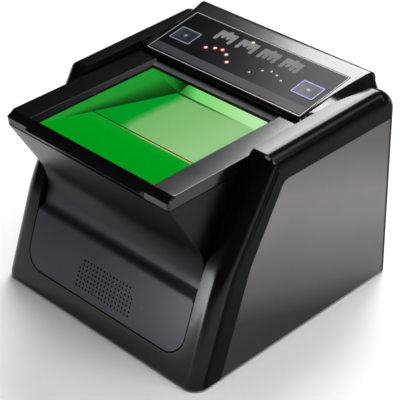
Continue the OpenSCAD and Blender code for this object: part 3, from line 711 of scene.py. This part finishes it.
def build_deck():
    b = Builder()
    # from the seam up: front edge y, half width, how far the lip stands out, height, height on the lip
    levels = [
        (-72.9, DECK_X - 0.5, 0.0, SEAM_Z, SEAM_Z),
        (-73.3, DECK_X, 0.0, SEAM_Z + 0.5, SEAM_Z + 0.5),
        (-73.5, DECK_X, 0.9, 106.9, 106.9),
        (-73.75, DECK_X, 2.0, 108.3, 108.3),
        (-73.85, DECK_X, -DECK_LO.y - 73.9, 109.1, 108.75),
        (-73.5, DECK_X, 1.9, 109.55, 109.1),
        (-72.6, DECK_X, 0.0, 109.75, 109.75),
        (-69.95, DECK_X, 0.0, DECK_Z - 0.35, DECK_Z - 0.35),
        (-69.65, DECK_X - 0.12, 0.0, DECK_Z - 0.08, DECK_Z - 0.08),
        (-69.45, DECK_X - 0.35, 0.0, DECK_Z, DECK_Z)]
    rows = []
    for front_y, hx, lip, z, lip_z in levels:
        outline = deck_outline(front_y, hx, lip)
        rows.append([(x, y, lip_z if abs(x) < LIP_X + 0.1 and y < -74 else z) for x, y in outline])
    b.grid(rows)
    # the top surface round the window, with sloping borders left and right of the glass
    wx_out, wx_in = WINDOW_X + BORDER_W, WINDOW_X + 0.15
    front, back = WINDOW_Y0 + 0.25, WINDOW_Y1 + 5.6
    foot = front + 1.2
    low = GLASS_Z + 0.05
    bottom = low - BORDER_DEPTH
    hole = [(-wx_out, front), (wx_out, front), (wx_out, back), (-wx_out, back)]
    b.flat([outline, hole], lambda p: (p[0], p[1], DECK_Z))
    for s in (1, -1):
        b.grid([[(s * wx_out, front, DECK_Z), (s * wx_out, back, DECK_Z)],
                [(s * wx_in, foot, low), (s * wx_in, back, low)],
                [(s * wx_in, foot, bottom), (s * wx_in, back, bottom)]])
        b.add([(s * wx_out, back, DECK_Z), (s * wx_in, back, low),
               (s * wx_in, back, bottom), (s * wx_out, back, bottom)], [(0, 1, 2, 3)])
    b.grid([[(-wx_out, front, DECK_Z), (wx_out, front, DECK_Z)],
            [(-wx_in, foot, low), (wx_in, foot, low)],
            [(-wx_in, foot, bottom), (wx_in, foot, bottom)]])
    b.grid([[(-wx_out, back, z), (wx_out, back, z)] for z in (DECK_Z, bottom)])
    # underside
    under = deck_outline(-72.9, DECK_X - 0.5)
    b.flat([under, [(-46, -66), (46, -66), (46, 22), (-46, 22)]], lambda p: (p[0], p[1], SEAM_Z))
    make("deck_frame", b, M["deck"], replaces=("platen_frame",), bevel=0.18, angle=28.0,
         weld=0.02, weighted=True)


# ---------------------------------------------------------------- nose under the deck
def nose_line():
    """Side line of the nose from under the deck, down the waist, to the top edge of the front panel."""
    tip = (WAIST_KNEE[0] - NOSE_SLOPE * (SEAM_Z - NOSE_GAP - WAIST_KNEE[1]), SEAM_Z - NOSE_GAP)
    foot_z = INSERT_TOP_Z + 0.06
    foot = (FRONT_Y + LEAN_SLOPE * (foot_z - BOTTOM_Z), foot_z)
    step = (foot[0] + LEAN_SLOPE * STEP_RISE, foot_z + STEP_RISE)
    ledge = (WAIST_KNEE[0] - LEAN_SLOPE * (WAIST_KNEE[1] - LEDGE_Z), LEDGE_Z)
    low = (ledge[0] + LEAN_SLOPE * LEDGE_RISE, LEDGE_Z + LEDGE_RISE)
    return ([tip] + fillet(tip, WAIST_KNEE, low, WAIST_R, 24) + fillet(low, ledge, step, LEDGE_TOP_R, 8)
            + fillet(ledge, step, foot, LEDGE_FOOT_R, 10) + [foot])


def build_nose():
    """Underside, concave waist and the soft ledge that steps out to the top edge of the front panel."""
    b = Builder()
    line = nose_line()
    pts = []
    for i, p in enumerate(line):
        a = Vector(line[max(0, i - 1)])
        c = Vector(line[min(len(line) - 1, i + 1)])
        d = (c - a).normalized()
        n = Vector((-d.y, d.x))
        pts.append((Vector(p), -n if n.x < 0 else n))
    r = NOSE_EDGE_R
    flat_x = DECK_X - r
    rows = []
    for p, n in pts:
        edge = []
        for i in range(5):
            th = math.pi / 2 * (i / 4)
            d = r * (1 - math.cos(th))
            edge.append((flat_x + r * math.sin(th), p.x + n.x * d, p.y + n.y * d))
        middle = [(-flat_x + 2 * flat_x * k / 12, p.x, p.y) for k in range(1, 12)]
        rows.append([(-x, y, z) for x, y, z in reversed(edge)] + middle + edge)
    b.grid(rows)
    outline = [tuple(p + n * r) for p, n in pts]
    outline += [(-45.0, line[-1][1]), (-33.0, 66.0), (-8.0, 99.0), (-8.0, SEAM_Z - NOSE_GAP)]
    for x in (DECK_X, -DECK_X):
        b.flat([outline], lambda p: (x, p[0], p[1]))
    make("nose_cowl", b, M["nose"], replaces=("nose_shell",), angle=40.0, weld=0.01)


# ---------------------------------------------------------------- glass and the lit well under it
def well_wall(name, corners, nu, nv, material, bulge=0.0):
    """A wall of the light well between four corners, in nu by nv cells; bulge lifts its middle."""
    b = Builder()
    a, c, d, e = [Vector(p) for p in corners]
    rows = []
    for i in range(nu + 1):
        u = i / nu
        p, q = a.lerp(e, u), c.lerp(d, u)
        lift = [bulge * math.sin(math.pi * u) * math.sin(math.pi * j / nv) for j in range(nv + 1)]
        rows.append([p.lerp(q, j / nv) + Vector((0, 0, lift[j])) for j in range(nv + 1)])
    b.grid(rows)
    make(name, b, material)


def build_well():
    """Light well seen through the glass: ramp, floor, leaning left wall and back wall, frosted and glowing, with light
    and shade painted into the glow.
    """
    x0, x1 = -WINDOW_X + 0.2, WINDOW_X - 0.2
    y0, y1 = WINDOW_Y0 + 1.4, WINDOW_Y1 - 0.3
    top = GLASS_Z - 1.35
    foot = (WELL_LEFT_BACK, WELL_FOOT_Y, WELL_Z)
    foot_right = (x1, WELL_FOOT_Y, WELL_Z)
    fold = (WELL_LEFT_FRONT, WELL_FOLD_Y, WELL_Z)
    fold_right = (x1, WELL_FOLD_Y, WELL_Z)
    turn = (WELL_CORNER_X, y1, top)
    well_wall("well_front_ramp", [(x0, y0, top), (x1, y0, top), fold_right, fold], 12, 16, MG["ramp"])
    well_wall("well_floor", [fold, fold_right, foot_right, foot], 16, 24, MG["floor"])
    well_wall("well_left_wall", [(x0, y0, top), (x0, y1, top), foot, fold], 16, 16, MG["left"], bulge=0.4)
    well_wall("well_left_return", [(x0, y1, top), turn, foot, foot], 8, 8, MG["return"])
    well_wall("well_back_wall", [turn, (x1, y1, top), foot_right, foot], 8, 16, MG["back"])
    # a dark strip of painted shadow along the foot of the back wall
    near, near_z, far_z = WELL_FOOT_Y - 1.3, WELL_Z + 0.12, WELL_Z + 0.3
    well_wall("well_back_foot_shadow", [
        (WELL_LEFT_BACK, near, near_z), (x1, near, near_z),
        (x1, WELL_FOOT_Y, far_z), (WELL_LEFT_BACK, WELL_FOOT_Y, far_z)], 2, 16, MG["foot"])
    up = (top - WELL_Z) / (WELL_FOLD_Y - y0)
    left = WELL_LEFT_FRONT + 0.3
    # a dark strip of painted shade along the fold, and a pale strip of painted highlight on the fold's edge
    for name, back, wide, lift, mat in (("well_fold_shade_line", 0.35, 0.9, 0.16, "fold_shade"),
                                        ("well_fold_edge", -0.55, 1.3, 0.12, "edge")):
        ya = WELL_FOLD_Y + back
        yb = ya - wide
        za = WELL_Z + up * max(0.0, WELL_FOLD_Y - ya) + lift
        zb = WELL_Z + up * max(0.0, WELL_FOLD_Y - yb) + lift
        well_wall(name, [(left, yb, zb), (x1, yb, zb), (x1, ya, za), (left, ya, za)], 2, 12, MG[mat])
    well_wall("well_right_wall", [(x1, y0, top), (x1, y1, top), (x1, y1, WELL_Z), fold_right], 8, 16,
              MG["left"])


def build_glass():
    front, back = WINDOW_Y0 + 1.2, WINDOW_Y1 - 0.2
    loop = rounded_rect(WINDOW_X - 0.1, (back - front) / 2, 0.8, 4, 0, (front + back) / 2)
    p = prism([loop], lambda x, y, z: (x, y, z), GLASS_Z - 1.1, GLASS_Z)
    make("platen_glass", p, M["glass"], replaces=("platen_prism",), bevel=0.25, angle=40.0)


# ---------------------------------------------------------------- control panel
def cheek_z(y):
    """Height of the cheek's top, which rises gently and rounds over at the back."""
    z = TOP_FRONT[1] + (y - TOP_FRONT[0]) * (TOP_BACK_Z - TOP_FRONT[1]) / (BACK_Y - TOP_FRONT[0])
    r = BACK_TOP_R
    if y > BACK_Y - r:
        z = min(z, TOP_BACK_Z - r + math.sqrt(max(0.0, r * r - (y - BACK_Y + r) ** 2)))
    return z


def slab_half(v):
    """Half width of the slab's top, which widens up the slope."""
    return 57.15 + 0.0019 * max(0.0, v) ** 2


def slab_foot(y):
    """Where the slab's flank lands: on the deck in front, then on the cheek, then round the back corner."""
    if y < 28:
        return (60.95, y, DECK_Z + 0.05)
    if y < 71.0:
        return (61.0 + 0.002 * (y - 15) ** 2, y, cheek_z(y) - 0.25)
    k = min(5.99, y - 69.6)
    return (61.2 + math.sqrt(36 - k * k), y, cheek_z(y) - 0.25)


def slab_line(back_y):
    """Side line of the slab as (y, z, way up the slope), from its front foot to the back."""
    line = [(20.6, DECK_Z + 0.05, 0.0), (20.6, 112.7, 0.0), (20.85, 113.5, 0.0), (21.5, 114.1, 0.0)]
    for v in (RECESS_V[0], 0.4, *range(3, 40, 3), RECESS_V[1], 43, 45.5, SLAB_END_V):
        x, y, z = on_panel(0, v)
        line.append((y, z, v))
    end = line[-1][:2]
    reach = (back_y - PANEL_Y) / math.cos(PANEL_TILT)
    corner = on_panel(0, reach)[1:]
    for y, z in fillet(end, corner, (back_y, 100.0), SLAB_BACK_R, 8):
        if y > line[-1][0] + 0.2:
            line.append((y, z, 49.0 + (y - end[0]) * 0.3))
    return line + [(back_y, 112.0, 50.5), (back_y, SEAM_Z + 1.4, 50.5)]


def build_housing():
    b = Builder()
    back_y = BACK_Y - 0.35
    line = slab_line(back_y)
    cut = PANEL_W / 2 + RECESS_GAP
    rows = []
    for y, z, v in line:
        if y >= back_y - 0.05:
            w, shoulder_drop, edge_drop = 60.6, 0.0, 0.0
            foot = (61.3, back_y, min(z, cheek_z(back_y)))
        else:
            w, shoulder_drop, edge_drop = slab_half(v), 0.168, 0.75
            fx, fy, fz = slab_foot(y)
            foot = (fx, fy, min(fz, z - 0.4))
        edge = Vector((w, y, z - edge_drop))
        foot = Vector((foot[0], foot[1], min(foot[2], edge.z)))
        row = [(0, y, z), (cut - 20, y, z), (cut, y, z), (max(cut + 0.05, w - 0.7), y, z)]
        row += [(w - 0.15, y, z - shoulder_drop), tuple(edge)]
        rows.append(row + [tuple(edge.lerp(foot, k)) for k in (0.33, 0.66, 1.0)])
    marks = [v for y, z, v in line]
    i0, i1 = marks.index(RECESS_V[0]), marks.index(RECESS_V[1])
    b.grid(rows, skip=lambda i, j: i0 <= i < i1 and j < 2)
    # recess for the overlay, with its floor
    vs = marks[i0:i1 + 1]
    loop = [(0, vs[0]), (cut - 20, vs[0])] + [(cut, v) for v in vs] + [(cut - 20, vs[-1]), (0, vs[-1])]
    b.grid([[on_panel(x, v, n) for x, v in loop] for n in (0, -RECESS_DEPTH)])
    key = [(KEY_X + sx * 9.2, KEY_V + sv * 7.6) for sx, sv in ((-1, -1), (1, -1), (1, 1), (-1, 1))]
    b.flat([loop, key], lambda p: on_panel(p[0], p[1], -RECESS_DEPTH))
    b.mirror_x()
    ob = make("control_slab", b, M["housing"], replaces=("control_housing",), angle=38.0,
              weld=0.02, weighted=True)
    second_material(ob, M["case_side"], lambda f: abs(f.normal.x) > 0.42 and abs(f.center.x) > 56.5 * MM)


def plate_on_panel(name, loops, n0, n1, material, body=ROOT, replaces=(), bevel=0.0):
    """A flat printed or moulded piece on the sloping panel; later loops are openings."""
    b = prism(loops, on_panel, n0, n1)
    make(name, b, material, body=body, replaces=replaces, bevel=bevel, angle=40.0)


def ring_on_panel(name, hx, hv, w, r, cx, cv, n0, n1, material, body=ROOT):
    """A printed line of width w along a rounded rectangle."""
    outer = rounded_rect(hx, hv, r, 5, cx, cv)
    inner = rounded_rect(hx - w, hv - w, max(0.15, r - w), 5, cx, cv)
    plate_on_panel(name, [outer, inner], n0, n1, material, body)


def domes(name, spots, r, h, n0, material, body=ROOT, replaces=()):
    """Low domes of radius r and height h on the sloping panel, each with a short foot below it."""
    rings, seg = 4, 20
    b = Builder()
    for cx, cv in spots:
        rows = []
        for i in range(-1, rings):
            th = math.pi / 2 * max(0, i) / rings
            wide = r * math.cos(th)
            n = n0 - 0.6 if i < 0 else n0 + h * math.sin(th)
            rows.append([on_panel(x, v, n) for x, v in arc(cx, cv, wide, 0, 360, seg)[:seg]])
        b.grid(rows, close=True)
        b.add(rows[-1] + [on_panel(cx, cv, n0 + h)], [(j, (j + 1) % seg, seg) for j in range(seg)])
    make(name, b, material, body=body, replaces=replaces, angle=60.0)


def hand_pictogram(name, cx, ends):
    """A palm bar with a wrist bump on top and four finger-like legs that end at the given heights."""
    left, pitch, wide, r = cx - 6.4, 3.35, 2.5, 1.25
    outline = [(left, 34.6), (left, ends[0] + 0.9)]
    for j, end in enumerate(ends):
        x0 = left + j * pitch
        outline += arc(x0 + r, end + 0.9, r, 180, 360, 6)
        if j < 3:
            crotch = 31.3 if j == 1 else 30.9
            outline += [(x0 + wide, crotch), (x0 + pitch, crotch)]
    outline += [(cx + 6.1, 34.6)] + arc(cx + 5.1, 34.4, 1.0, 20, 90, 4)
    outline += [(cx + 1.5, 35.2)] + arc(cx + 0.2, 35.4, r, 10, 170, 6) + [(cx - 1.2, 35.2)]
    outline += arc(cx - 5.4, 34.4, 1.0, 90, 160, 4)
    plate_on_panel(name, [thinned(outline, 0.05)], 0.0, 0.03, M["ink"])


def key_loop(s, grow, r):
    """Outline of the left (s = -1) or right (s = 1) key's face, made larger by grow."""
    return rounded_rect(KEY_HALF[0] + grow, KEY_HALF[1] + grow, r, 4, s * KEY_X, KEY_V)


def build_key(s, body, node, print_material):
    """A key cap with a skirt under the overlay and a dished face, its printed outline and its dot."""
    cap, skirt, soft = key_loop(s, 0.0, 0.6), key_loop(s, 0.9, 0.8), key_loop(s, -0.15, 0.5)
    sides = [(skirt, -2.1), (skirt, -1.4), (cap, -1.4), (cap, 0.05), (soft, 0.17)]
    dish = [sides[-1]]
    hx, hv = KEY_HALF[0] - 0.15, KEY_HALF[1] - 0.15
    for k, n in ((0.86, 0.15), (0.6, 0.08), (0.3, 0.05)):
        dish.append((rounded_rect(hx * k, hv * k, 0.5 * k, 4, s * KEY_X, KEY_V), n))
    b = Builder()
    for levels in (sides, dish):
        b.grid([[on_panel(x, v, n) for x, v in loop] for loop, n in levels], close=True)
    for loop, n in (dish[-1], sides[0]):
        b.flat([loop], lambda p: on_panel(p[0], p[1], n))
    make(node + "_cap", b, M["key"], body=body, replaces=(node,), angle=40.0)
    ring_on_panel(node + "_outline", 7.45, 5.8, 0.75, 0.6, s * KEY_X, KEY_V, 0.13, 0.2, print_material,
                  body=body)
    domes(node + "_dot", [(s * KEY_X, KEY_V)], 1.15, 0.1, 0.06, print_material, body=body)


def build_panel():
    hw, hv = PANEL_W / 2, PANEL_LEN / 2
    outer = rounded_rect(hw, hv, 0.5, 3, 0, hv)
    holes = [rounded_rect(KEY_HALF[0] + 0.3, KEY_HALF[1] + 0.3, 0.5, 3, s * KEY_X, KEY_V) for s in (-1, 1)]
    plate_on_panel("overlay_plate", [outer] + holes, -0.95, 0.0, M["overlay"], replaces=("control_overlay",),
                   bevel=0.12)
    ring_on_panel("overlay_border_line", hw - 0.35, hv - 0.35, 0.42, 0.5, 0, hv, 0.0, 0.03, M["line"])
    plate_on_panel("overlay_smoked_strip", [rounded_rect(hw - 1.6, 3.0, 0.4, 3, 0, 5.0)], 0.0, 0.02, M["strip"])
    hand_pictogram("hand_pictogram_1", -24.6, (26.6, 29.4, 29.6, 26.7))
    hand_pictogram("hand_pictogram_2", -8.5, (26.9, 29.8, 29.2, 26.6))
    hand_pictogram("hand_pictogram_3", 7.5, (26.8, 27.6, 27.9, 26.9))
    hand_pictogram("hand_pictogram_4", 23.6, (26.7, 28.6, 27.4, 26.6))
    left = [(-x, v) for x, v in LAMPS]
    domes("left_hand_lamps_domes", left, 0.82, 0.2, 0.02, M["red_lamp"],
          replaces=("left_hand_lamps",))
    # painted glow: a faint red pool of light on the overlay round each lit red lamp
    domes("red_lamp_glow", left, 1.35, 0.04, 0.015, M["red_halo"])
    domes("right_hand_lamps_domes", LAMPS, 0.82, 0.2, 0.02, M["clear_lamp"],
          replaces=("right_hand_lamps",))
    domes("status_lamp_dome", [STATUS], 0.95, 0.2, 0.04, M["green_lamp"],
          replaces=("status_lamp",))
    build_key(-1, "left_key", "key_left", M["blue_ink_dim"])
    build_key(1, "right_key", "key_right", M["blue_ink"])


# ---------------------------------------------------------------- carried-over CAD nodes
def finish_nodes():
    """Materials, and softer edges on the outer ones, for the pieces that come straight from CAD."""
    look = {
        "front": ("front_panel",),
        "inlay": ("side_inlay_left", "side_inlay_right"),
        "gasket": ("platen_gasket",),
        "port": ("rear_port_panel",),
        "tray": ("base_tray", "prism_cradle"),
        "rubber": ("rubber_feet",),
        "pcb": ("backlight_board", "control_board", "camera_board", "main_board"),
        "led": ("backlight_leds",),
        "diffuser": ("diffuser_panel",),
        "steel": ("key_switches", "usb_socket", "base_screws", "board_screws", "port_panel_screws",
                  "lock_slot_plate"),
        "alu": ("optics_bracket", "heat_sink"),
        "mirror": ("fold_mirror",),
        "chip": ("image_sensor", "lens_barrel", "board_chips", "power_jack", "speaker"),
        "ribbon": ("ribbon_cable",)}
    for key, nodes in look.items():
        for node in nodes:
            NODES[node].data.materials.clear()
            NODES[node].data.materials.append(M[key])
    for node, width in (("side_inlay_left", 0.35), ("side_inlay_right", 0.35), ("rear_port_panel", 0.25),
                        ("rubber_feet", 0.3), ("usb_socket", 0.2)):
        soften(NODES[node], width, 40)


build_casing()
build_deck()
build_nose()
build_well()
build_glass()
build_housing()
build_panel()
finish_nodes()


# ---------------------------------------------------------------- floor, light, camera
FLOOR_X = 2500
FLOOR_FRONT_Y = -1500
FLOOR_LEN = 4000
FLOOR_FLAT_Y = 1200  # the paper curves up behind this
CAMERA_AT = (485.574, -466.838, 493.805)
CAMERA_AZIMUTH = math.radians(45.765)
CAMERA_ELEVATION = math.radians(33.433)
CAMERA_ROLL = math.radians(-1.263)
SENSOR_W = 36.0
LENS = SENSOR_W * 1485.417 / 400.0  # focal length over picture width, both in pixels of the calibration


def floor():
    b = Builder()
    n = 24
    rows = []
    for i in range(n + 1):
        y = FLOOR_FRONT_Y + FLOOR_LEN * i / n
        z = 0.0 if y < FLOOR_FLAT_Y else (y - FLOOR_FLAT_Y) ** 2 / 2600.0
        rows.append([(-FLOOR_X + 2 * FLOOR_X * j / n, y, z) for j in range(n + 1)])
    b.grid(rows)
    me = bpy.data.meshes.new("studio_floor")
    me.from_pydata([tuple(Vector(v) * MM) for v in b.v], [], b.f)
    ob = bpy.data.objects.new("studio_floor", me)
    bpy.context.scene.collection.objects.link(ob)
    m, nodes, links, p = new_material("studio_paper")
    drift = noise(nodes, links, 6.0, 3.0)
    links.new(ramp(nodes, links, drift, [(0.3, grey(0.86)), (0.7, grey(0.89))]), p.inputs["Base Color"])
    p.inputs["Roughness"].default_value = 0.9
    me.materials.append(m)
    for f in me.polygons:
        f.use_smooth = True


def softbox(name, centre, target, w, h, power, color=(1, 1, 1), roll=0.0):
    """A rectangular area light; centre, target and size in metres, roll in degrees round its own axis."""
    li = bpy.data.lights.new(name, "AREA")
    li.shape = "RECTANGLE"
    li.size, li.size_y = w, h
    li.energy = power
    li.color = color
    ob = bpy.data.objects.new(name, li)
    ob.location = Vector(centre)
    aim = (Vector(target) - Vector(centre)).to_track_quat("-Z", "Y")
    ob.rotation_euler = (aim @ Quaternion((0, 0, 1), math.radians(roll))).to_euler()
    bpy.context.scene.collection.objects.link(ob)


def camera():
    cam = bpy.data.cameras.new("photo_camera")
    cam.sensor_width = SENSOR_W
    cam.lens = LENS
    cam.clip_start = 0.01
    cam.clip_end = 50.0
    ob = bpy.data.objects.new("photo_camera", cam)
    az, el, roll = CAMERA_AZIMUTH, CAMERA_ELEVATION, CAMERA_ROLL
    back = Vector((math.sin(az) * math.cos(el), -math.cos(az) * math.cos(el), math.sin(el)))
    right = (-back).cross(Vector((0, 0, 1))).normalized()
    up = right.cross(-back)
    rolled_right = math.cos(roll) * right + math.sin(roll) * up
    rolled_up = -math.sin(roll) * right + math.cos(roll) * up
    rot = Matrix((rolled_right, rolled_up, back)).transposed()
    ob.matrix_world = Matrix.Translation(Vector(CAMERA_AT) * MM) @ rot.to_4x4()
    bpy.context.scene.collection.objects.link(ob)
    bpy.context.scene.camera = ob


floor()
camera()
world = bpy.data.worlds.new("studio_air")
bpy.context.scene.world = world
world.use_nodes = True
bg = world.node_tree.nodes["Background"]
bg.inputs["Color"].default_value = (0.95, 0.97, 1.0, 1)
bg.inputs["Strength"].default_value = 0.026
softbox("back_softbox", (-0.557, 0.993, 1.223), (0, 0, 0.1), 0.80, 0.95, 31.0, roll=-31.0)
softbox("overhead_softbox", (0.30, -0.05, 1.05), (0.02, 0, 0), 0.6, 0.6, 5.5)
softbox("right_softbox", (1.3, 0.5, 0.9), (0, 0, 0.02), 0.8, 0.6, 9.0)
softbox("rear_right_softbox", (1.0, 1.2, 1.45), (0, 0, 0.1), 0.7, 0.5, 1.8, (1.0, 0.93, 0.98))
softbox("low_front_softbox", (-0.11, -0.42, 0.06), (0.04, -0.06, 0.04), 0.14, 0.12, 0.70, (0.90, 0.93, 1.0))

view = bpy.context.scene.view_settings
view.view_transform = "Standard"
